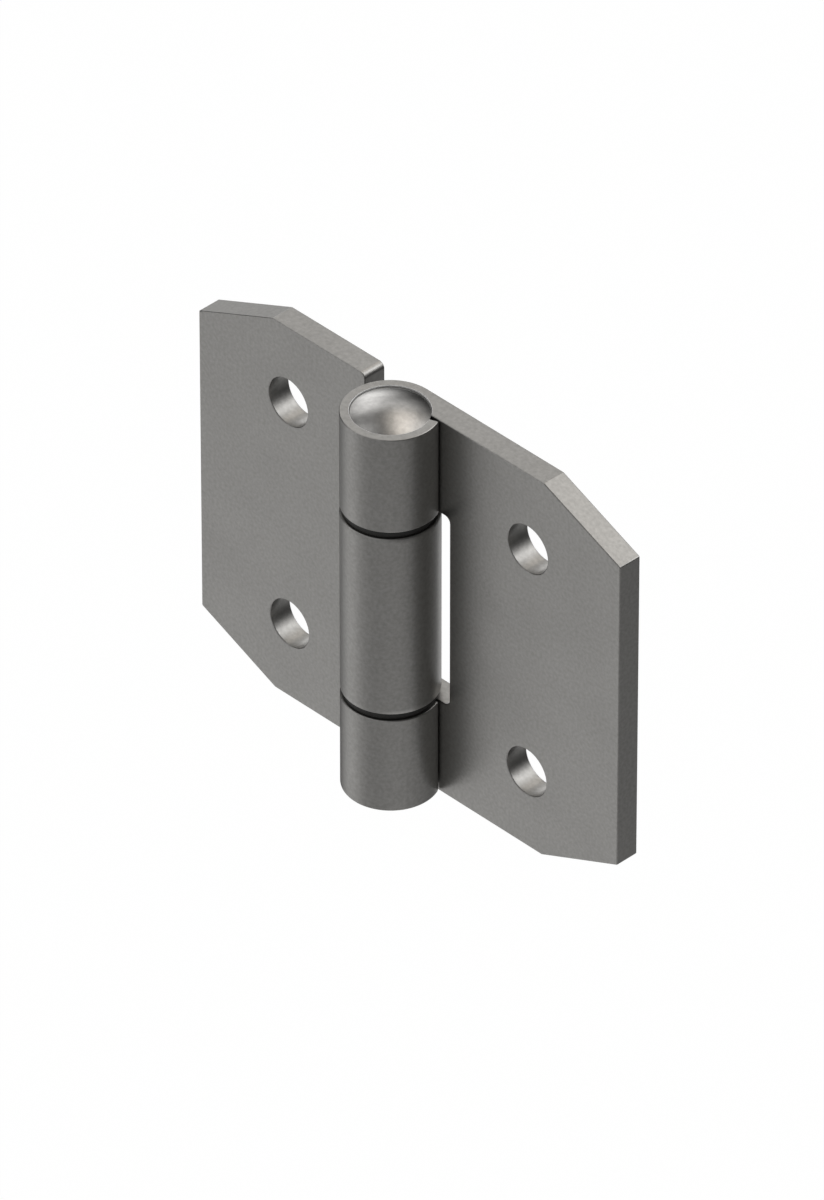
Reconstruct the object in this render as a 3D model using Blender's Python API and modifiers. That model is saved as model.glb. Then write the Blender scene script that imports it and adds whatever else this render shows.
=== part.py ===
"""Flat hinge of two rolled stainless steel leaves on a riveted pin.

The frame leaf carries the two outer knuckles and the pin, the door leaf the
centre knuckle. The pin's axis is the Z axis and the hinge lies flat open, with
the backs of both leaves in the plane y = +barrel radius.
"""

import math

import bmesh
import bpy
from mathutils import Matrix

MM = 0.001

# Driving dimensions
HEIGHT = 100.0 * MM
HALF_WIDTH = 64.5 * MM
SHEET = 6.0 * MM
BORE_RADIUS = 5.0 * MM
PIN_RADIUS = 4.8 * MM

# Outline of a leaf
CHAMFER_X = 23.0 * MM
CHAMFER_Z = 10.0 * MM
OUTLINE_ROUND = 0.8 * MM
INNER_ROUND = 1.5 * MM
BARREL_CLEARANCE = 2.0 * MM
SCREW_HOLE_RADIUS = 6.0 * MM
SCREW_HOLE_X = 36.75 * MM
SCREW_HOLE_Z = 30.0 * MM

# Knuckles
CENTRE_KNUCKLE = 47.3 * MM
KNUCKLE_GAP = 1.75 * MM
ROLL_END_GAP = 0.35 * MM

# Pin heads, sunk in the ends of the barrel
HEAD_RADIUS = 8.65 * MM
HEAD_POCKET_RADIUS = 8.9 * MM
HEAD_POCKET_DEPTH = 3.2 * MM
HEAD_SEAT_GAP = 0.3 * MM
HEAD_EDGE_DEPTH = 0.35 * MM
HEAD_CROWN = 1.5 * MM

# Washers between the knuckles
WASHER_RADIUS = 10.4 * MM
WASHER_BORE_RADIUS = 5.1 * MM
WASHER_THICKNESS = 1.15 * MM

# Finish of the edges
EDGE_ROUND = 0.45 * MM
SMALL_ROUND = 0.2 * MM
MOUTH_BREAK = 0.1 * MM
SMOOTH_ANGLE = math.radians(28)

# Steps of the curves: fine on the barrel, the pin and the holes, coarser on the small corners
ARC_STEP = math.radians(6)
CORNER_STEP = math.radians(15)
DOME_RINGS = 7

# Worked out from the above
BARREL_RADIUS = BORE_RADIUS + SHEET
FRONT_FACE_Y = BARREL_RADIUS - SHEET
INNER_EDGE_X = BARREL_RADIUS + BARREL_CLEARANCE
NOTCH_Z = CENTRE_KNUCKLE / 2 + KNUCKLE_GAP
OVERSIZE = 2.0 * MM


def clear_scene():
    """An empty scene to build in."""
    for obj in list(bpy.data.objects):
        bpy.data.objects.remove(obj)


def new_collection(name):
    """A collection of the scene."""
    found = bpy.data.collections.new(name)
    bpy.context.scene.collection.children.link(found)
    return found


def make_material(name, colour, metallic, roughness):
    """A plain Principled material."""
    material = bpy.data.materials.new(name)
    material.use_nodes = True
    shader = material.node_tree.nodes["Principled BSDF"]
    shader.inputs["Base Color"].default_value = (*colour, 1.0)
    shader.inputs["Metallic"].default_value = metallic
    shader.inputs["Roughness"].default_value = roughness
    material.diffuse_color = (*colour, 1.0)
    return material


def arc(centre, radius, start, stop, step=ARC_STEP):
    """Points on an arc from start to stop, both included, no further apart than the step."""
    steps = max(2, math.ceil(abs(stop - start) / step))
    points = []
    for i in range(steps + 1):
        angle = start + (stop - start) * i / steps
        points.append(
            (
                centre[0] + radius * math.cos(angle),
                centre[1] + radius * math.sin(angle),
            )
        )
    return points


def rounded(corners):
    """A closed outline through corners given as (x, y, radius), each turned in an arc."""
    outline = []
    for i, (x, y, radius) in enumerate(corners):
        before = corners[i - 1]
        after = corners[(i + 1) % len(corners)]
        if radius == 0:
            outline.append((x, y))
            continue
        to_before = math.atan2(before[1] - y, before[0] - x)
        to_after = math.atan2(after[1] - y, after[0] - x)
        half = ((to_after - to_before + math.pi) % (2 * math.pi) - math.pi) / 2
        middle = to_before + half
        reach = radius / math.sin(abs(half))
        centre = (x + reach * math.cos(middle), y + reach * math.sin(middle))
        side = math.copysign(math.pi / 2 - abs(half), half)
        facing = middle + math.pi
        outline += arc(centre, radius, facing + side, facing - side, CORNER_STEP)
    return outline


def mirrored(outline):
    """The same outline on the other side of the pin."""
    return [(-x, y) for x, y in outline]


def flat_solid(name, outlines, half_depth, stand_up=False):
    """A solid with flat ends, from outlines in a plane. Later outlines are holes.

    It is drawn in XY with its depth along Z. Stood up, its outline's second
    coordinate is Z and its depth lies along Y.
    """
    curve = bpy.data.curves.new(name, "CURVE")
    curve.dimensions = "2D"
    curve.fill_mode = "BOTH"
    curve.extrude = half_depth
    for outline in outlines:
        spline = curve.splines.new("POLY")
        spline.points.add(len(outline) - 1)
        for point, (x, y) in zip(spline.points, outline):
            point.co = (x, y, 0, 1)
        spline.use_cyclic_u = True
    drawing = bpy.data.objects.new(name + "_drawing", curve)
    bpy.context.scene.collection.objects.link(drawing)
    graph = bpy.context.evaluated_depsgraph_get()
    mesh = bpy.data.meshes.new_from_object(drawing.evaluated_get(graph))
    bpy.data.objects.remove(drawing)
    mesh.name = name
    close_caps(mesh)
    if stand_up:
        mesh.transform(Matrix.Rotation(math.pi / 2, 4, "X"))
    return bpy.data.objects.new(name, mesh)


def close_caps(mesh):
    """Joins the end faces of a filled outline to its sides, each end as one flat face."""
    weld = 0.001 * MM
    flat = math.radians(0.5)
    work = bmesh.new()
    work.from_mesh(mesh)
    bmesh.ops.remove_doubles(work, verts=work.verts, dist=weld)
    bmesh.ops.dissolve_limit(
        work, angle_limit=flat, verts=work.verts, edges=work.edges
    )
    bmesh.ops.recalc_face_normals(work, faces=work.faces)
    work.to_mesh(mesh)
    work.free()


def rolled_section():
    """The section of a leaf square to the pin, with the leaf towards +X.

    The back runs onto the barrel at its tangent, and the square-cut end of the
    roll comes round to just short of the leaf's front face.
    """
    tangent = math.pi / 2
    end = math.asin((FRONT_FACE_Y - ROLL_END_GAP) / BARREL_RADIUS) + 2 * math.pi
    outer = arc((0, 0), BARREL_RADIUS, tangent, end)
    inner = arc((0, 0), BORE_RADIUS, end, tangent)
    tip = HALF_WIDTH + OVERSIZE
    return [(tip, BARREL_RADIUS)] + outer + inner + [(tip, FRONT_FACE_Y)]


def outer_corners():
    """The outer half of a leaf's outline, anticlockwise from the bottom, as (x, z, radius)."""
    top = HEIGHT / 2
    chamfer_start = HALF_WIDTH - CHAMFER_X
    return [
        (chamfer_start, -top, OUTLINE_ROUND),
        (HALF_WIDTH, CHAMFER_Z - top, OUTLINE_ROUND),
        (HALF_WIDTH, top - CHAMFER_Z, OUTLINE_ROUND),
        (chamfer_start, top, OUTLINE_ROUND),
    ]


def frame_leaf_outline():
    """Outline of the leaf with two knuckles: full height at the barrel, with the centre notched out."""
    top = HEIGHT / 2
    past_barrel = -BARREL_RADIUS - OVERSIZE
    return rounded(
        [
            (past_barrel, -top, 0),
            *outer_corners(),
            (past_barrel, top, 0),
            (past_barrel, NOTCH_Z, 0),
            (INNER_EDGE_X, NOTCH_Z, INNER_ROUND),
            (INNER_EDGE_X, -NOTCH_Z, INNER_ROUND),
            (past_barrel, -NOTCH_Z, 0),
        ]
    )


def door_leaf_outline():
    """Outline of the leaf with one knuckle: a tongue at mid height, clear of the outer knuckles."""
    top = HEIGHT / 2
    tongue = CENTRE_KNUCKLE / 2
    past_barrel = -BARREL_RADIUS - OVERSIZE
    return rounded(
        [
            (INNER_EDGE_X, -top, INNER_ROUND),
            *outer_corners(),
            (INNER_EDGE_X, top, INNER_ROUND),
            (INNER_EDGE_X, tongue, INNER_ROUND),
            (past_barrel, tongue, 0),
            (past_barrel, -tongue, 0),
            (INNER_EDGE_X, -tongue, INNER_ROUND),
        ]
    )


def screw_holes():
    """The two screw holes of a leaf, as outlines in the leaf's plane."""
    full_turn = 2 * math.pi
    return [
        arc((SCREW_HOLE_X, z), SCREW_HOLE_RADIUS, 0, full_turn)[:-1]
        for z in (-SCREW_HOLE_Z, SCREW_HOLE_Z)
    ]


def add_boolean(obj, operation, other):
    """Cuts obj with another solid, or keeps what they share."""
    modifier = obj.modifiers.new(other.name, "BOOLEAN")
    modifier.operation = operation
    modifier.object = other


def add_edge_round(obj, width):
    """Breaks every sharp edge with a small round."""
    merge = obj.modifiers.new("one face to a plane", "DECIMATE")
    merge.decimate_type = "DISSOLVE"
    merge.angle_limit = math.radians(0.5)
    bevel = obj.modifiers.new("edge round", "BEVEL")
    bevel.width = width
    bevel.segments = 2
    bevel.limit_method = "ANGLE"
    bevel.angle_limit = SMOOTH_ANGLE


def add_to(collection, obj, material=None):
    """Puts an object in a collection, in its material and with its round faces shaded smooth."""
    collection.objects.link(obj)
    if material:
        obj.data.materials.clear()
        obj.data.materials.append(material)
        obj.data.shade_smooth()
        obj.data.set_sharp_from_angle(angle=SMOOTH_ANGLE)
    else:
        obj.hide_render = True
        obj.display_type = "WIRE"


def make_leaf(name, outline, turned, parts, cutters, material):
    """A leaf: its rolled section run along the pin, trimmed to the outline of the blank."""
    section = rolled_section()
    holes = screw_holes()
    if turned:
        section = mirrored(section)
        outline = mirrored(outline)
        holes = [mirrored(hole) for hole in holes]
    leaf = flat_solid(name, [section], HEIGHT / 2 + OVERSIZE)
    blank = flat_solid(
        name + "_blank", [outline, *holes], BARREL_RADIUS + OVERSIZE, stand_up=True
    )
    add_to(parts, leaf, material)
    add_to(cutters, blank)
    add_boolean(leaf, "INTERSECT", blank)
    return leaf


def turned_solid(name, profile):
    """A solid turned about the pin's axis from a profile of (radius, z), top to bottom."""
    mesh = bpy.data.meshes.new(name)
    points = [(radius, 0, z) for radius, z in profile]
    edges = [(i, i + 1) for i in range(len(points) - 1)]
    if profile[0][0] > 0:
        edges.append((len(points) - 1, 0))
    mesh.from_pydata(points, edges, [])
    obj = bpy.data.objects.new(name, mesh)
    screw = obj.modifiers.new("turned", "SCREW")
    screw.axis = "Z"
    screw.steps = round(2 * math.pi / ARC_STEP)
    screw.render_steps = screw.steps
    screw.use_merge_vertices = True
    screw.merge_threshold = 0.001 * MM
    screw.use_smooth_shade = True
    return obj


def head_pocket_profile():
    """The round pocket that sinks a pin head into the top of the barrel, with its mouth broken."""
    barrel_end = HEIGHT / 2
    return [
        (0, barrel_end + OVERSIZE),
        (HEAD_POCKET_RADIUS + MOUTH_BREAK + OVERSIZE, barrel_end + OVERSIZE),
        (HEAD_POCKET_RADIUS, barrel_end - MOUTH_BREAK),
        (HEAD_POCKET_RADIUS, barrel_end - HEAD_POCKET_DEPTH),
        (0, barrel_end - HEAD_POCKET_DEPTH),
    ]


def upside_down(profile):
    """The same profile at the other end of the barrel, still from top to bottom."""
    return [(radius, -z) for radius, z in reversed(profile)]


def head_profile():
    """Upper half of the pin, from the crown of its head down to mid height, as (radius, z)."""
    barrel_end = HEIGHT / 2
    edge_z = barrel_end - HEAD_EDGE_DEPTH
    seat_z = barrel_end - HEAD_POCKET_DEPTH + HEAD_SEAT_GAP
    rise = HEAD_CROWN + HEAD_EDGE_DEPTH
    dome_radius = (HEAD_RADIUS**2 + rise**2) / (2 * rise)
    centre_z = edge_z + rise - dome_radius
    edge_angle = math.asin(HEAD_RADIUS / dome_radius)
    dome = []
    for i in range(DOME_RINGS + 1):
        angle = edge_angle * i / DOME_RINGS
        dome.append(
            (dome_radius * math.sin(angle), centre_z + dome_radius * math.cos(angle))
        )
    rim = [
        (HEAD_RADIUS, seat_z + SMALL_ROUND),
        (HEAD_RADIUS - SMALL_ROUND, seat_z),
        (PIN_RADIUS, seat_z),
    ]
    return dome + rim


def make_pin(parts, material):
    """The pin: a plain shank with a domed head riveted on each end."""
    upper_half = head_profile()
    pin = turned_solid("hinge_pin", upper_half + upside_down(upper_half))
    add_to(parts, pin, material)


def make_washer(name, z, parts, material):
    """A flat washer that keeps two knuckles apart, with its outer corners broken."""
    half = WASHER_THICKNESS / 2
    profile = [
        (WASHER_BORE_RADIUS, half),
        (WASHER_RADIUS - SMALL_ROUND, half),
        (WASHER_RADIUS, half - SMALL_ROUND),
        (WASHER_RADIUS, SMALL_ROUND - half),
        (WASHER_RADIUS - SMALL_ROUND, -half),
        (WASHER_BORE_RADIUS, -half),
    ]
    washer = turned_solid(name, profile)
    washer.location.z = z
    add_to(parts, washer, material)


def build_hinge():
    """Builds every piece in place, lying flat open."""
    clear_scene()
    parts = new_collection("flat_hinge")
    cutters = new_collection("cutters")
    steel = make_material("satin stainless steel", (0.27, 0.265, 0.255), 1.0, 0.42)
    pin_steel = make_material("riveted pin steel", (0.3, 0.294, 0.285), 1.0, 0.3)
    black = make_material("black washer plastic", (0.012, 0.012, 0.012), 0.0, 0.5)

    frame_leaf = make_leaf(
        "frame_leaf", frame_leaf_outline(), False, parts, cutters, steel
    )
    door_leaf = make_leaf(
        "door_leaf", door_leaf_outline(), True, parts, cutters, steel
    )
    for leaf in (frame_leaf, door_leaf):
        add_edge_round(leaf, EDGE_ROUND)

    pocket_profile = head_pocket_profile()
    for name, profile in (
        ("upper_head_pocket", pocket_profile),
        ("lower_head_pocket", upside_down(pocket_profile)),
    ):
        pocket = turned_solid(name, profile)
        add_to(cutters, pocket)
        add_boolean(frame_leaf, "DIFFERENCE", pocket)

    make_pin(parts, pin_steel)
    washer_z = (CENTRE_KNUCKLE + KNUCKLE_GAP) / 2
    make_washer("upper_washer", washer_z, parts, black)
    make_washer("lower_washer", -washer_z, parts, black)


build_hinge()
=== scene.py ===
# %% [markdown]
# # A flat hinge, rolled from steel plate
#
# This hinge has five pieces. Two leaves are cut from 6 mm plate and rolled into knuckles, a pin is
# riveted through the knuckles, and two thin washers keep them apart. The steel has a satin finish,
# so nearly all that the eye sees of it is the studio, mirrored and blurred.
#
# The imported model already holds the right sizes, bodies and joint. This lesson loads it, makes a
# finer copy of each piece in the same place, gives it its finish and lights it.

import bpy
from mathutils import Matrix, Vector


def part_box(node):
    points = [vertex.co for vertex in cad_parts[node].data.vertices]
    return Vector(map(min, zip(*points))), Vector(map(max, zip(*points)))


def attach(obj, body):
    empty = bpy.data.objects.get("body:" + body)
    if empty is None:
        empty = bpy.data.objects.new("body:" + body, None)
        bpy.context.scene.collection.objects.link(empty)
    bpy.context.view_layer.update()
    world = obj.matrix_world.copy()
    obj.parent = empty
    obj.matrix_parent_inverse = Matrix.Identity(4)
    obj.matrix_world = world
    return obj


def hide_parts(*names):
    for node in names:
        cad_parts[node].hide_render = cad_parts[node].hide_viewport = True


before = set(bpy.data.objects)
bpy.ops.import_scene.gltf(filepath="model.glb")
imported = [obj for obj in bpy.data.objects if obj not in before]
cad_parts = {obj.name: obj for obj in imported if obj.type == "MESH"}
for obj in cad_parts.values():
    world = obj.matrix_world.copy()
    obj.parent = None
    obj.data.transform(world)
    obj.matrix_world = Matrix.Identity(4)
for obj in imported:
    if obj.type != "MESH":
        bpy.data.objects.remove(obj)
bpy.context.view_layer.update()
print("nodes:", sorted(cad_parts))

# %% [markdown]
# ## Sizes
#
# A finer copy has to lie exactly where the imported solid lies, so the large sizes are read from the
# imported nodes. The rest are the sizes that a maker would put on the drawing. All are in metres,
# written with `MM`.

# %% Sizes on the drawing
import math

import bmesh
import bpy
from mathutils import Vector

MM = 0.001
SHEET = 6.0 * MM
CHAMFER_X = 23.0 * MM
CHAMFER_Z = 10.0 * MM
BARREL_CLEARANCE = 2.0 * MM
SCREW_HOLE_RADIUS = 6.0 * MM
SCREW_HOLE_X = 36.75 * MM
SCREW_HOLE_SPACING = 60.0 * MM
OUTLINE_ROUND = 0.4 * MM
INNER_ROUND = 1.5 * MM
TIP_ROUND = 0.5 * MM
EDGE_ROUND = 0.25 * MM

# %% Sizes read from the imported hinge
leaf_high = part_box("frame_leaf")[1]
washer_low, washer_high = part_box("upper_washer")
HALF_WIDTH = leaf_high.x
HALF_HEIGHT = leaf_high.z
BARREL_RADIUS = leaf_high.y
BORE_RADIUS = BARREL_RADIUS - SHEET
INNER_EDGE_X = BARREL_RADIUS + BARREL_CLEARANCE
WASHER_SEAT_GAP = 0.3 * MM
TONGUE_Z = washer_low.z - WASHER_SEAT_GAP
NOTCH_Z = washer_high.z + WASHER_SEAT_GAP
print(f"barrel {2 * BARREL_RADIUS / MM:.1f} mm, centre knuckle {2 * TONGUE_Z / MM:.1f} mm")

# %% [markdown]
# ## A shorthand for nodes
#
# Both the shapes and the finishes below are node trees. Written out, each node takes a line to add
# it, one for each setting and one for each link. A small helper keeps that to one call, so that a
# tree reads from its start to its end.

# %% Adding a node in one call
def add(tree, kind, *values, **named):
    """Adds a node and returns it.

    The values feed its inputs in order. A keyword with a capital is an input by its name, one in
    small letters is a setting. A value may be another node, whose first output is taken.
    """
    made = tree.nodes.new(kind)
    for name, value in named.items():
        if name[0].islower():
            setattr(made, name, value)
    fed = list(zip(made.inputs, values))
    for name, value in named.items():
        if name[0].isupper():
            fed.append((made.inputs[name.replace("_", " ")], value))
    for socket, value in fed:
        if isinstance(value, bpy.types.Node):
            value = value.outputs[0]
        if isinstance(value, bpy.types.NodeSocket):
            tree.links.new(value, socket)
        elif value is not None:
            socket.default_value = value
    return made


# %% [markdown]
# ## Running a tree
#
# The leaves follow rules, so Geometry Nodes make them, and their sizes are the tree's named inputs.
# A modifier knows an input by its identifier and not by its name, so each name is looked up. What
# comes out is then turned into a plain mesh, because a finished piece has to stand without its
# modifiers.

# %% A tree with named inputs, and how it is run
INPUT_KINDS = {float: "NodeSocketFloat", int: "NodeSocketInt", "finish": "NodeSocketMaterial"}


def shape_tree(name, **inputs):
    """A Geometry Nodes tree with the named inputs, its start node and its end node."""
    tree = bpy.data.node_groups.new(name, "GeometryNodeTree")
    tree.interface.new_socket("Geometry", in_out="INPUT", socket_type="NodeSocketGeometry")
    tree.interface.new_socket("Geometry", in_out="OUTPUT", socket_type="NodeSocketGeometry")
    for title, kind in inputs.items():
        tree.interface.new_socket(title, in_out="INPUT", socket_type=INPUT_KINDS[kind])
    return tree, tree.nodes.new("NodeGroupInput"), tree.nodes.new("NodeGroupOutput")


def run_tree(obj, tree, **values):
    """Puts the tree on an object as a modifier, with each input set by its identifier."""
    modifier = obj.modifiers.new(tree.name, "NODES")
    modifier.node_group = tree
    for item in tree.interface.items_tree:
        if item.name in values:
            modifier[item.identifier] = values[item.name]


def make_plain(obj):
    """Replaces an object's mesh by what its modifiers make of it, and takes them off."""
    graph = bpy.context.evaluated_depsgraph_get()
    finished = obj.evaluated_get(graph)
    mesh = bpy.data.meshes.new_from_object(finished, preserve_all_data_layers=True, depsgraph=graph)
    obj.modifiers.clear()
    obj.data = mesh
    mesh.name = obj.name


# %% [markdown]
# ## The finish of the leaves
#
# The leaves are satin stainless steel: an even grey with a very fine grain and no direction, as
# tumbling or bead blasting leaves it. A brushed finish would need streaks, and the photograph has
# none. So one fine noise raises the grain as bump, a second one changes the tone a little, and a
# slow one makes the roughness drift, which shows as faint clouds on the flat faces.
#
# The patterns read Object coordinates in metres. A noise of scale 2000 then has about two grains
# to a millimetre, and it stays with the steel when a leaf turns.

# %% A metal with grain
FLECK_TO_GRAIN = 0.55
TONE_SPREAD = 0.1
SHEEN_DRIFT = 0.025
NOISE_LOW = 0.3
NOISE_HIGH = 0.7


def grained_steel(name, colour, roughness, grain, grain_height, cloud):
    """Stainless steel with a fine grain, in a darker and a lighter tone round the colour."""
    material = bpy.data.materials.new(name)
    material.use_nodes = True
    tree = material.node_tree
    shader = tree.nodes["Principled BSDF"]
    shader.inputs["Metallic"].default_value = 1.0
    place = add(tree, "ShaderNodeTexCoord").outputs["Object"]

    fleck = add(tree, "ShaderNodeTexNoise", Vector=place, Scale=grain * FLECK_TO_GRAIN, Detail=3.0)
    tones = add(tree, "ShaderNodeValToRGB", fleck)
    for stop, share in zip(tones.color_ramp.elements, (1 - TONE_SPREAD, 1 + TONE_SPREAD)):
        stop.color = (*(c * share for c in colour), 1.0)
    tones.color_ramp.elements[0].position = NOISE_LOW
    tones.color_ramp.elements[1].position = NOISE_HIGH
    tree.links.new(tones.outputs["Color"], shader.inputs["Base Color"])

    drift = add(tree, "ShaderNodeTexNoise", Vector=place, Scale=cloud, Detail=2.0)
    sheen = add(
        tree, "ShaderNodeMapRange", drift, NOISE_LOW, NOISE_HIGH,
        roughness - SHEEN_DRIFT, roughness + SHEEN_DRIFT,
    )
    tree.links.new(sheen.outputs[0], shader.inputs["Roughness"])

    pits = add(tree, "ShaderNodeTexNoise", Vector=place, Scale=grain, Detail=2.0)
    relief = add(tree, "ShaderNodeBump", Strength=1.0, Distance=grain_height, Height=pits)
    tree.links.new(relief.outputs["Normal"], shader.inputs["Normal"])
    return material


# %% Satin steel
LEAF_COLOUR = (0.27, 0.265, 0.255)
leaf_steel = grained_steel(
    "satin steel", LEAF_COLOUR, roughness=0.38, grain=2200.0, grain_height=0.006 * MM, cloud=90.0
)
print("finish:", leaf_steel.name, "with", len(leaf_steel.node_tree.nodes), "nodes")

# %% [markdown]
# ## Cutting the blanks
#
# Each leaf starts as a flat blank: chamfered outer corners, two screw holes, and one or two
# tongues that will become knuckles. A tongue has to be as long as the arc it will be bent to,
# measured at the middle of the plate, where bending neither stretches nor squeezes the steel.
#
# The outline could be modelled face by face, but a cut plate is easier to say than to draw: fillet
# the corners, add the holes, fill, extrude. That is a short Geometry Nodes tree, and it serves
# both leaves. The outline's corners each carry their own radius as an attribute.

# %% The length of a tongue
ROLL_END_GAP = 0.15 * MM
FRONT_FACE_Y = BORE_RADIUS
roll_end_angle = 2 * math.pi + math.asin((FRONT_FACE_Y - ROLL_END_GAP) / BARREL_RADIUS)
ROLL_SWEEP = roll_end_angle - math.pi / 2
MIDDLE_RADIUS = BORE_RADIUS + SHEET / 2
TONGUE_END = -MIDDLE_RADIUS * ROLL_SWEEP
print(f"the roll turns {math.degrees(ROLL_SWEEP):.0f} degrees, from {-TONGUE_END / MM:.1f} mm of plate")

# %% The tree that cuts a blank
MERGE_WITHIN = 0.001 * MM

cut_tree, start, end = shape_tree(
    "cut the blank", Thickness=float, Hole_Radius=float, Hole_X=float, Hole_Spacing=float,
    Back_Y=float, Fillet_Points=int, Hole_Points=int,
)
sizes = start.outputs
outline = add(cut_tree, "GeometryNodeMeshToCurve", sizes["Geometry"])
corner = add(cut_tree, "GeometryNodeInputNamedAttribute", data_type="FLOAT", Name="corner_round")
smooth_outline = add(
    cut_tree, "GeometryNodeFilletCurve", mode="POLY", Curve=outline,
    Count=sizes["Fillet_Points"], Radius=corner, Limit_Radius=True,
)
hole = add(
    cut_tree, "GeometryNodeCurvePrimitiveCircle",
    Resolution=sizes["Hole_Points"], Radius=sizes["Hole_Radius"],
)
lowest = add(cut_tree, "ShaderNodeMath", sizes["Hole_Spacing"], -0.5, operation="MULTIPLY")
first_hole = add(cut_tree, "ShaderNodeCombineXYZ", sizes["Hole_X"], lowest)
step_up = add(cut_tree, "ShaderNodeCombineXYZ", Y=sizes["Hole_Spacing"])
hole_places = add(
    cut_tree, "GeometryNodeMeshLine", Count=2, Start_Location=first_hole, Offset=step_up
)
holes = add(cut_tree, "GeometryNodeInstanceOnPoints", Points=hole_places, Instance=hole)
real_holes = add(cut_tree, "GeometryNodeRealizeInstances", holes)
drawing = add(cut_tree, "GeometryNodeJoinGeometry", real_holes)
cut_tree.links.new(smooth_outline.outputs[0], drawing.inputs[0])
face = add(cut_tree, "GeometryNodeFillCurve", drawing, mode="NGONS")
depth = add(cut_tree, "ShaderNodeCombineXYZ", Z=sizes["Thickness"])
thick = add(cut_tree, "GeometryNodeExtrudeMesh", Mesh=face, Offset=depth, Individual=False)
bottom = add(cut_tree, "GeometryNodeFlipFaces", face)
plate = add(cut_tree, "GeometryNodeJoinGeometry", bottom)
cut_tree.links.new(thick.outputs[0], plate.inputs[0])
closed = add(cut_tree, "GeometryNodeMergeByDistance", plate, Distance=MERGE_WITHIN)
stand = add(cut_tree, "ShaderNodeCombineXYZ", Y=sizes["Back_Y"])
upright = add(
    cut_tree, "GeometryNodeTransform", closed, Translation=stand, Rotation=(math.pi / 2, 0, 0)
)
whole = add(cut_tree, "GeometryNodeRealizeInstances", upright)
cut_tree.links.new(whole.outputs[0], end.inputs[0])
print("the cutting tree has", len(cut_tree.nodes), "nodes")

# %% [markdown]
# The outlines are lists of corners, as (along, up, round). "Along" is the distance from the pin's
# axis, measured on the flat plate, so it is negative in a tongue. Both leaves share their outer
# corners. The frame leaf keeps two tongues at its ends and the door leaf one in the middle.

# %% The two outlines
OUTER_CORNERS = [
    (HALF_WIDTH - CHAMFER_X, -HALF_HEIGHT, OUTLINE_ROUND),
    (HALF_WIDTH, CHAMFER_Z - HALF_HEIGHT, OUTLINE_ROUND),
    (HALF_WIDTH, HALF_HEIGHT - CHAMFER_Z, OUTLINE_ROUND),
    (HALF_WIDTH - CHAMFER_X, HALF_HEIGHT, OUTLINE_ROUND),
]
FRAME_LEAF_CORNERS = [
    (TONGUE_END, -HALF_HEIGHT, TIP_ROUND),
    *OUTER_CORNERS,
    (TONGUE_END, HALF_HEIGHT, TIP_ROUND),
    (TONGUE_END, NOTCH_Z, TIP_ROUND),
    (INNER_EDGE_X, NOTCH_Z, INNER_ROUND),
    (INNER_EDGE_X, -NOTCH_Z, INNER_ROUND),
    (TONGUE_END, -NOTCH_Z, TIP_ROUND),
]
DOOR_LEAF_CORNERS = [
    (INNER_EDGE_X, -HALF_HEIGHT, INNER_ROUND),
    *OUTER_CORNERS,
    (INNER_EDGE_X, HALF_HEIGHT, INNER_ROUND),
    (INNER_EDGE_X, TONGUE_Z, INNER_ROUND),
    (TONGUE_END, TONGUE_Z, TIP_ROUND),
    (TONGUE_END, -TONGUE_Z, TIP_ROUND),
    (INNER_EDGE_X, -TONGUE_Z, INNER_ROUND),
]
print(len(FRAME_LEAF_CORNERS), "and", len(DOOR_LEAF_CORNERS), "corners")

# %% Cut a blank and break its edges
FILLET_POINTS = 8
HOLE_POINTS = 96
EDGE_STEPS = 4
SHARP_FROM = math.radians(28)


def cut_blank(name, corners):
    """A flat blank with rounded edges, standing where the flat of the leaf will be."""
    count = len(corners)
    mesh = bpy.data.meshes.new(name)
    loop = [(i, (i + 1) % count) for i in range(count)]
    mesh.from_pydata([(along, up, 0) for along, up, _ in corners], loop, [])
    radii = mesh.attributes.new("corner_round", "FLOAT", "POINT")
    radii.data.foreach_set("value", [corner_round for _, _, corner_round in corners])
    obj = bpy.data.objects.new(name, mesh)
    bpy.context.scene.collection.objects.link(obj)
    run_tree(
        obj, cut_tree, Thickness=SHEET, Hole_Radius=SCREW_HOLE_RADIUS, Hole_X=SCREW_HOLE_X,
        Hole_Spacing=SCREW_HOLE_SPACING, Back_Y=BARREL_RADIUS, Fillet_Points=FILLET_POINTS,
        Hole_Points=HOLE_POINTS,
    )
    edges = obj.modifiers.new("broken edges", "BEVEL")
    edges.width = EDGE_ROUND
    edges.segments = EDGE_STEPS
    edges.limit_method = "ANGLE"
    edges.angle_limit = SHARP_FROM
    make_plain(obj)
    return obj


frame_leaf = cut_blank("frame_leaf_steel", FRAME_LEAF_CORNERS)
door_leaf = cut_blank("door_leaf_steel", DOOR_LEAF_CORNERS)
print("blank faces:", len(frame_leaf.data.polygons), "and", len(door_leaf.data.polygons))

# %% [markdown]
# ## Rolling the knuckles
#
# On the real hinge a press curls the tongue round a mandrel. Here a second tree does the same with
# one formula. A point on the flat plate keeps its distance from the axis as its radius, and its
# distance along the tongue becomes an angle, so the plate runs onto the barrel at its tangent and
# the square-cut end comes round to just short of the leaf.
#
# A flat face bends only where it has edges, so the tongue is first sliced across into narrow
# strips. The flat of the leaf is sliced into wide squares, because one face with a hundred corners
# and two holes breaks up into needles that show as hairlines. The door leaf is rolled as the frame
# leaf is and then mirrored. A mirror turns the shape inside out, so its faces are flipped back.

# %% Slice the blanks
STRIPS = 118
SQUARE = 9.0 * MM
NEAR_PLANE = 0.0001 * MM


def slice_through(work, place, facing):
    """Cuts every face that a plane passes through."""
    everything = [*work.verts, *work.edges, *work.faces]
    bmesh.ops.bisect_plane(work, geom=everything, dist=NEAR_PLANE, plane_co=place, plane_no=facing)


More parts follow.
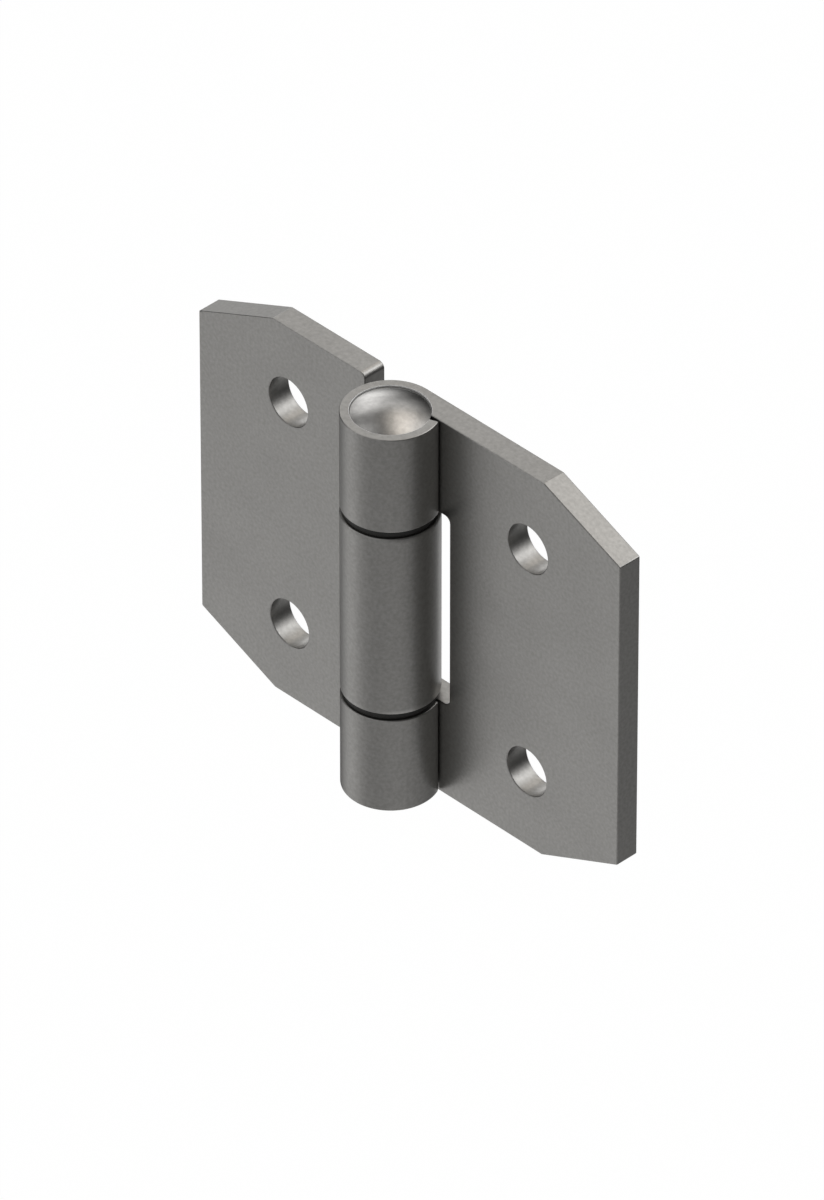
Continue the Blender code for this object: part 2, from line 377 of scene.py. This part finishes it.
def slice_blank(obj):
    """Cuts the tongues across in narrow strips, from the tangent line out, and the flat in squares."""
    work = bmesh.new()
    work.from_mesh(obj.data)
    for i in range(STRIPS):
        slice_through(work, (TONGUE_END * i / STRIPS, 0, 0), (1, 0, 0))
    for i in range(1, int(HALF_WIDTH / SQUARE)):
        slice_through(work, (i * SQUARE, 0, 0), (1, 0, 0))
    rows = int(HALF_HEIGHT / SQUARE)
    for i in range(-rows, rows):
        slice_through(work, (0, 0, (i + 0.5) * SQUARE), (0, 0, 1))
    work.to_mesh(obj.data)
    work.free()


for leaf in (frame_leaf, door_leaf):
    slice_blank(leaf)
    print(leaf.name, "sliced into", len(leaf.data.polygons), "faces")

# %% The tree that rolls a tongue
roll_tree, start, end = shape_tree("roll the knuckle", Middle_Radius=float, Side=float, Finish="finish")
sizes = start.outputs
flat = add(roll_tree, "ShaderNodeSeparateXYZ", add(roll_tree, "GeometryNodeInputPosition"))
along, from_axis, up = flat.outputs
on_leaf = add(roll_tree, "ShaderNodeMath", along, 0.0, operation="MAXIMUM")
on_tongue = add(roll_tree, "ShaderNodeMath", along, 0.0, operation="MINIMUM")
turned_by = add(roll_tree, "ShaderNodeMath", on_tongue, sizes["Middle_Radius"], operation="DIVIDE")
sine = add(roll_tree, "ShaderNodeMath", turned_by, operation="SINE")
cosine = add(roll_tree, "ShaderNodeMath", turned_by, operation="COSINE")
across = add(roll_tree, "ShaderNodeMath", from_axis, sine, on_leaf, operation="MULTIPLY_ADD")
sided = add(roll_tree, "ShaderNodeMath", across, sizes["Side"], operation="MULTIPLY")
outward = add(roll_tree, "ShaderNodeMath", from_axis, cosine, operation="MULTIPLY")
rolled_place = add(roll_tree, "ShaderNodeCombineXYZ", sided, outward, up)
rolled = add(roll_tree, "GeometryNodeSetPosition", Geometry=sizes["Geometry"], Position=rolled_place)
is_mirrored = add(
    roll_tree, "FunctionNodeCompare", sizes["Side"], 0.0, data_type="FLOAT", operation="LESS_THAN"
)
facing_out = add(roll_tree, "GeometryNodeFlipFaces", rolled, is_mirrored)
whole = add(roll_tree, "GeometryNodeRealizeInstances", facing_out)
finished = add(roll_tree, "GeometryNodeSetMaterial", Geometry=whole, Material=sizes["Finish"])
roll_tree.links.new(finished.outputs[0], end.inputs[0])
print("the rolling tree has", len(roll_tree.nodes), "nodes")

# %% Roll both leaves
for leaf, side in ((frame_leaf, 1.0), (door_leaf, -1.0)):
    run_tree(leaf, roll_tree, Middle_Radius=MIDDLE_RADIUS, Side=side, Finish=leaf_steel)
    make_plain(leaf)
    reach = max(v.co.y for v in leaf.data.vertices) - min(v.co.y for v in leaf.data.vertices)
    print(f"{leaf.name} is {reach / MM:.2f} mm deep with its barrel")

# %% [markdown]
# ## Turning
#
# The pin, the washers and the pockets for the pin's heads are all turned on a lathe, so they come
# from half a section, spun round the pin's axis. The Screw modifier would do it too; `spin` in
# bmesh gives the mesh at once and closes it on itself. Points on the axis end up on top of each
# other and are merged, and then the faces are made to point outwards.

# %% A lathe
TURN_STEPS = 144
CORNER_STEPS = 5
print("a turned piece has", TURN_STEPS, "steps round, and a rounded corner", CORNER_STEPS)


def turned(name, profile):
    """A closed solid spun round Z from a closed outline of (radius, height)."""
    work = bmesh.new()
    points = [work.verts.new((radius, 0, height)) for radius, height in profile]
    for i, point in enumerate(points):
        after = points[(i + 1) % len(points)]
        if point.co.x > 0 or after.co.x > 0:
            work.edges.new((point, after))
    bmesh.ops.spin(
        work, geom=[*work.verts, *work.edges], axis=(0, 0, 1), cent=(0, 0, 0),
        angle=2 * math.pi, steps=TURN_STEPS, use_merge=True,
    )
    bmesh.ops.remove_doubles(work, verts=work.verts, dist=MERGE_WITHIN)
    bmesh.ops.recalc_face_normals(work, faces=work.faces)
    mesh = bpy.data.meshes.new(name)
    work.to_mesh(mesh)
    work.free()
    obj = bpy.data.objects.new(name, mesh)
    bpy.context.scene.collection.objects.link(obj)
    return obj


def quarter(centre, radius, start_angle):
    """Points of a quarter circle in a turned outline, turning clockwise."""
    angles = [start_angle - math.pi / 2 * i / CORNER_STEPS for i in range(CORNER_STEPS + 1)]
    return [(centre[0] + radius * math.cos(a), centre[1] + radius * math.sin(a)) for a in angles]


# %% [markdown]
# ## The pockets for the pin's heads
#
# The heads lie sunk in the ends of the barrel. The pocket is turned into the rolled knuckle, and
# it cuts through the roll's end as well, which a bend can't give, so this is a Boolean. The cutter
# widens in a small curve at the mouth and leaves a rounded lip there.
#
# One fault is left here. The cutter has no finish, so the faces that it cuts have none either. On
# the real hinge they are the same steel as the leaf. `take_place` below gives a piece one finish
# all over when it is handed one, and for the frame leaf it is not.

# %% Cut the pockets
POCKET_RADIUS = 8.9 * MM
POCKET_DEPTH = 3.2 * MM
LIP_ROUND = 0.08 * MM
PAST = 1.0 * MM


def pocket_outline(top):
    """Half the section of the pocket's cutter, for a barrel that ends at this height."""
    lip = quarter((POCKET_RADIUS + LIP_ROUND, top - LIP_ROUND), LIP_ROUND, math.pi)
    wide = POCKET_RADIUS + LIP_ROUND + PAST
    floor_z = top - POCKET_DEPTH
    above = top + PAST
    return [(0, floor_z), (POCKET_RADIUS, floor_z), *lip, (wide, top), (wide, above), (0, above)]


upper_outline = pocket_outline(HALF_HEIGHT)
lower_outline = [(radius, -z) for radius, z in upper_outline]
for name, outline in (("upper_pocket", upper_outline), ("lower_pocket", lower_outline)):
    cutter = turned(name, outline)
    cut = frame_leaf.modifiers.new(name, "BOOLEAN")
    cut.operation = "DIFFERENCE"
    cut.object = cutter
    make_plain(frame_leaf)
    bpy.data.objects.remove(cutter)
print("frame leaf has", len(frame_leaf.data.polygons), "faces")

# %% [markdown]
# ## Shading
#
# Smooth shading averages the normals at every corner. Next to a narrow rounded edge that bends the
# shading of a wide flat face, and the plate looks dented. Weighted normals let the larger face win,
# so the plates stay flat and only the rounds turn.

# %% Flat faces stay flat
SMOOTH_UP_TO = math.radians(30)


def shade(obj):
    """Smooth shading with weighted normals, and real corners left sharp."""
    obj.data.shade_smooth()
    obj.data.set_sharp_from_angle(angle=SMOOTH_UP_TO)
    weighted = obj.modifiers.new("weighted normals", "WEIGHTED_NORMAL")
    weighted.keep_sharp = True
    weighted.weight = 100
    make_plain(obj)


def take_place(obj, node, body, material=None):
    """Finishes a piece: its material and shading, its body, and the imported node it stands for."""
    if material:
        obj.data.materials.clear()
        obj.data.materials.append(material)
    shade(obj)
    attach(obj, body)
    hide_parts(node)
    print(obj.name, "replaces", node, "with", len(obj.data.polygons), "faces")


take_place(frame_leaf, "frame_leaf", "frame_side")
take_place(door_leaf, "door_leaf", "door_side")

# %% [markdown]
# ## The pin
#
# The pin is a plain shank whose ends are riveted over into low domes. Riveting burnishes the steel,
# so the domes are smoother than the leaves and show the panels of light as soft patches. The dome
# is part of a sphere, and its radius follows from the head's width and height. The head fills its
# pocket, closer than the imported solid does.

# %% Pin steel
PIN_COLOUR = (0.30, 0.294, 0.285)
pin_steel = grained_steel(
    "burnished pin steel", PIN_COLOUR, roughness=0.2, grain=1500.0, grain_height=0.004 * MM, cloud=260.0
)
print("finish:", pin_steel.name, "with", len(pin_steel.node_tree.nodes), "nodes")

# %% Turn the pin
PIN_RADIUS = 4.8 * MM
HEAD_RADIUS = 8.82 * MM
HEAD_EDGE_DEPTH = 0.3 * MM
HEAD_SEAT_GAP = 0.3 * MM
HEAD_CORNER = 0.2 * MM
DOME_RINGS = 36

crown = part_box("hinge_pin")[1].z
edge_z = HALF_HEIGHT - HEAD_EDGE_DEPTH
rise = crown - edge_z
dome_radius = (HEAD_RADIUS**2 + rise**2) / (2 * rise)
dome_edge = math.asin(HEAD_RADIUS / dome_radius)
dome = []
for ring in range(DOME_RINGS + 1):
    lean = dome_edge * ring / DOME_RINGS
    dome.append((dome_radius * math.sin(lean), crown - dome_radius * (1 - math.cos(lean))))
seat_z = HALF_HEIGHT - POCKET_DEPTH + HEAD_SEAT_GAP
head_side = [(HEAD_RADIUS, seat_z + HEAD_CORNER), (HEAD_RADIUS - HEAD_CORNER, seat_z)]
upper_half = [*dome, *head_side, (PIN_RADIUS, seat_z)]
lower_half = [(radius, -z) for radius, z in reversed(upper_half)]
pin = turned("riveted_pin", upper_half + lower_half)
take_place(pin, "hinge_pin", "frame_side", pin_steel)
print(f"dome radius {dome_radius / MM:.1f} mm")

# %% [markdown]
# ## The washers
#
# Black plastic washers keep steel off steel. Only their edges show, as dark bands between the
# knuckles. They nearly touch the knuckles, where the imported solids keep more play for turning.
# Plastic has a weak, soft gloss, so it isn't metallic: a very dark grey with a fine grain and a
# little unevenness in its roughness.

# %% Washer plastic
PLASTIC_TONES = ((0.013, 0.013, 0.012, 1.0), (0.025, 0.025, 0.023, 1.0))
PLASTIC_GLOSS = 0.3
PLASTIC_ROUGHNESS = (0.5, 0.62)
PLASTIC_GRAIN = 1800.0
PLASTIC_GRAIN_HEIGHT = 0.004 * MM


def moulded_black():
    """Matt black plastic, slightly uneven as moulded."""
    material = bpy.data.materials.new("black washer plastic")
    material.use_nodes = True
    tree = material.node_tree
    shader = tree.nodes["Principled BSDF"]
    shader.inputs["Specular IOR Level"].default_value = PLASTIC_GLOSS
    place = add(tree, "ShaderNodeTexCoord").outputs["Object"]
    grain = add(tree, "ShaderNodeTexNoise", Vector=place, Scale=PLASTIC_GRAIN, Detail=2.0)
    tones = add(tree, "ShaderNodeValToRGB", grain)
    for stop, tone in zip(tones.color_ramp.elements, PLASTIC_TONES):
        stop.color = tone
    tree.links.new(tones.outputs["Color"], shader.inputs["Base Color"])
    uneven = add(tree, "ShaderNodeMapRange", grain, NOISE_LOW, NOISE_HIGH, *PLASTIC_ROUGHNESS)
    tree.links.new(uneven.outputs[0], shader.inputs["Roughness"])
    relief = add(tree, "ShaderNodeBump", Strength=1.0, Distance=PLASTIC_GRAIN_HEIGHT, Height=grain)
    tree.links.new(relief.outputs["Normal"], shader.inputs["Normal"])
    return material


washer_plastic = moulded_black()
print("finish:", washer_plastic.name, "with", len(washer_plastic.node_tree.nodes), "nodes")

# %% Turn the washers
WASHER_BORE_RADIUS = 5.1 * MM
WASHER_CORNER = 0.15 * MM
WASHER_PLAY = 0.05 * MM
WASHER_SWELL = WASHER_SEAT_GAP - WASHER_PLAY


def washer_outline(low_z, high_z, radius):
    """Half the section of a washer with rounded outer corners."""
    reach = radius - WASHER_CORNER
    top_corner = quarter((reach, high_z - WASHER_CORNER), WASHER_CORNER, math.pi / 2)
    bottom_corner = quarter((reach, low_z + WASHER_CORNER), WASHER_CORNER, 0)
    return [(WASHER_BORE_RADIUS, high_z), *top_corner, *bottom_corner, (WASHER_BORE_RADIUS, low_z)]


for node in ("upper_washer", "lower_washer"):
    low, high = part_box(node)
    outline = washer_outline(low.z - WASHER_SWELL, high.z + WASHER_SWELL, high.x)
    washer = turned(node + "_plastic", outline)
    take_place(washer, node, "frame_side", washer_plastic)

# %% [markdown]
# ## The camera
#
# The photograph is nearly a parallel view from the front right and above. A long lens from far
# away gives that. It aims a little beside the middle of the pin, as the photograph is framed. The
# directions below are the camera's own: to its right, away from it along the floor, and up. The
# light is placed by them too.

# %% Place the camera
CAMERA_AZIMUTH = math.radians(45.7)
CAMERA_ELEVATION = math.radians(37.23)
CAMERA_DISTANCE = 3.375
LENS = 470.3
SENSOR = 36.0
SEES_UP_TO = 100.0
AIM_RIGHT = 4.62 * MM
AIM_UP = -0.71 * MM

RIGHT = Vector((math.cos(CAMERA_AZIMUTH), math.sin(CAMERA_AZIMUTH), 0))
AWAY = Vector((-math.sin(CAMERA_AZIMUTH), math.cos(CAMERA_AZIMUTH), 0))
UP = Vector((0, 0, 1))


def seen_from_camera(right, away, up):
    """A direction or place given by the camera's own right, away and up."""
    return RIGHT * right + AWAY * away + UP * up


look = seen_from_camera(0, math.cos(CAMERA_ELEVATION), -math.sin(CAMERA_ELEVATION))
image_up = RIGHT.cross(look)
camera_data = bpy.data.cameras.new("camera")
camera_data.lens = LENS
camera_data.sensor_width = SENSOR
camera_data.clip_end = SEES_UP_TO
camera = bpy.data.objects.new("camera", camera_data)
camera.location = RIGHT * AIM_RIGHT + image_up * AIM_UP - look * CAMERA_DISTANCE
camera.rotation_euler = look.to_track_quat("-Z", "Y").to_euler()
bpy.context.scene.collection.objects.link(camera)
bpy.context.scene.camera = camera
print("camera at", [round(c, 3) for c in camera.location])

# %% [markdown]
# ## The studio
#
# Steel shows its surroundings, so the studio is what gives this hinge its tones. It is a dark room
# with soft panels of light, and only the camera sees it white. Large panels high and at the side
# on the right light the right-hand chamfer and the insides of the holes. Two warm ones high up
# give one side of the pin's dome its glow, and those behind give the other side and the top faces
# theirs. The ones on the left and on the camera's side keep the near edges from going black, and
# the lit patches of floor fill the flat faces and give the barrel its long soft bands. Low on the
# right there is only one dim patch, so the barrel goes dark there.
#
# Each panel is a soft round patch, given by the way to it from the hinge: how far round from
# straight behind, how far up, how wide it spreads, and how bright it is, where 1 is white paper.
# The room reads the sum of them along the ray, and the floor reads it at the place where a ray
# meets it. So the panels above the floor are glowing parts of the room, and those below are lit
# patches of the floor.

# %% The panels of light
PLAIN = Vector((1.0, 1.0, 1.0))
WARM = Vector((1.0, 0.94, 0.865))

# Each row says how far round, how far up and how wide, in degrees, then how bright, and its colour.
PANELS = {
    "top right": (38, 72, 8, 1.9, WARM),
    "high behind": (19, 55, 9, 1.9, WARM),
    "high right": (57, 56, 13, 0.7, PLAIN),
    "right side": (76, 37, 13, 4.8, PLAIN),
    "behind": (-18, 31, 9, 2.2, PLAIN),
    "low behind": (-9, 12, 7.5, 2.4, PLAIN),
    "right of behind": (10, 35, 9, 1.0, PLAIN),
    "left side": (-89, -7, 7, 3.0, PLAIN),
    "high left": (-59, 57, 12, 1.15, PLAIN),
    "left": (-93, 30, 12, 1.2, PLAIN),
    "near high": (-150, 55, 20, 0.4, PLAIN),
    "near left": (-147, 0, 27, 0.77, PLAIN),
    "near floor": (156, -67, 17, 1.55, PLAIN),
    "far floor": (28, -48, 9, 2.2, PLAIN),
    "left floor": (-78, -48, 18, 1.25, PLAIN),
    "right floor": (97, -48, 21, 0.37, PLAIN),
}


def studio_light(tree, direction):
    """The light that comes from a direction: the sum of the panels, each falling off softly."""
    total = Vector((0, 0, 0))
    for turn, height, spread, brightness, colour in PANELS.values():
        turn, height = math.radians(turn), math.radians(height)
        flat_way = math.cos(height)
        middle = seen_from_camera(flat_way * math.sin(turn), flat_way * math.cos(turn), math.sin(height))
        towards = add(tree, "ShaderNodeVectorMath", direction, middle, operation="DOT_PRODUCT")
        narrow = 1 / math.radians(spread) ** 2
        off = add(
            tree, "ShaderNodeMath", towards.outputs["Value"], narrow, -narrow, operation="MULTIPLY_ADD"
        )
        share = add(tree, "ShaderNodeMath", off, operation="EXPONENT")
        glow = add(tree, "ShaderNodeVectorMath", colour * brightness, Scale=share, operation="SCALE")
        total = add(tree, "ShaderNodeVectorMath", total, glow)
    return total


print(len(PANELS), "panels:", ", ".join(PANELS))

# %% The room
WHITE = (1.0, 1.0, 1.0, 1.0)

world = bpy.data.worlds.new("room")
world.use_nodes = True
bpy.context.scene.world = world
tree = world.node_tree
tree.nodes.clear()
direction = add(tree, "ShaderNodeTexCoord").outputs["Generated"]
lit_room = add(tree, "ShaderNodeBackground", studio_light(tree, direction))
white_room = add(tree, "ShaderNodeBackground", WHITE)
to_camera = add(tree, "ShaderNodeLightPath").outputs["Is Camera Ray"]
room = add(tree, "ShaderNodeMixShader", to_camera, lit_room, white_room)
add(tree, "ShaderNodeOutputWorld", room)
print("the room has", len(tree.nodes), "nodes")

# %% [markdown]
# ## The floor
#
# The hinge hangs over a plain pale floor, which the camera sees white, like the room. One part in a
# hundred of it is plain paper and takes the hinge's shadow, which doesn't show in the picture. The
# rest glows: white towards the camera, and in what the steel mirrors as the panels say. Light that
# spreads from a matt surface finds only the paper. The floor lies well below, so that both leaves
# see nearly the same part of it.

# %% Lay the floor
FLOOR_DROP = 1.0
FLOOR_SIZE = 60.0
FLOOR_COLOUR = (0.8, 0.8, 0.8, 1.0)
GLOW_SHARE = 0.99


def floor_finish():
    """White to the camera, and lit in patches by the panels in what the metal mirrors."""
    material = bpy.data.materials.new("pale floor")
    material.use_nodes = True
    material.cycles.emission_sampling = "NONE"
    tree = material.node_tree
    tree.nodes.clear()
    place = add(tree, "ShaderNodeTexCoord").outputs["Object"]
    way = add(tree, "ShaderNodeVectorMath", place, operation="NORMALIZE")
    rays = add(tree, "ShaderNodeLightPath").outputs
    lit_floor = add(tree, "ShaderNodeEmission", studio_light(tree, way))
    white_floor = add(tree, "ShaderNodeEmission", WHITE)
    glow = add(tree, "ShaderNodeMixShader", rays["Is Camera Ray"], lit_floor, white_floor)
    paper = add(tree, "ShaderNodeBsdfDiffuse", FLOOR_COLOUR)
    direct = add(tree, "ShaderNodeMath", rays["Is Camera Ray"], rays["Is Glossy Ray"])
    shown = add(tree, "ShaderNodeMath", direct, rays["Is Transmission Ray"])
    share = add(tree, "ShaderNodeMath", shown, GLOW_SHARE, operation="MULTIPLY")
    mixed = add(tree, "ShaderNodeMixShader", share, paper, glow)
    add(tree, "ShaderNodeOutputMaterial", mixed)
    return material


floor_mesh = bpy.data.meshes.new("floor")
half_floor = FLOOR_SIZE / 2
floor_z = -HALF_HEIGHT - FLOOR_DROP
corners = [(x * half_floor, y * half_floor, floor_z) for x, y in ((-1, -1), (1, -1), (1, 1), (-1, 1))]
floor_mesh.from_pydata(corners, [], [(0, 1, 2, 3)])
floor_mesh.materials.append(floor_finish())
floor = bpy.data.objects.new("floor", floor_mesh)
bpy.context.scene.collection.objects.link(floor)
print(f"floor {-floor_z:.2f} m below the middle of the hinge")

# %% [markdown]
# ## The view transform
#
# The view transform is the plain one, so that colours stay as written.

# %% Keep colours as written
bpy.context.scene.view_settings.view_transform = "Standard"
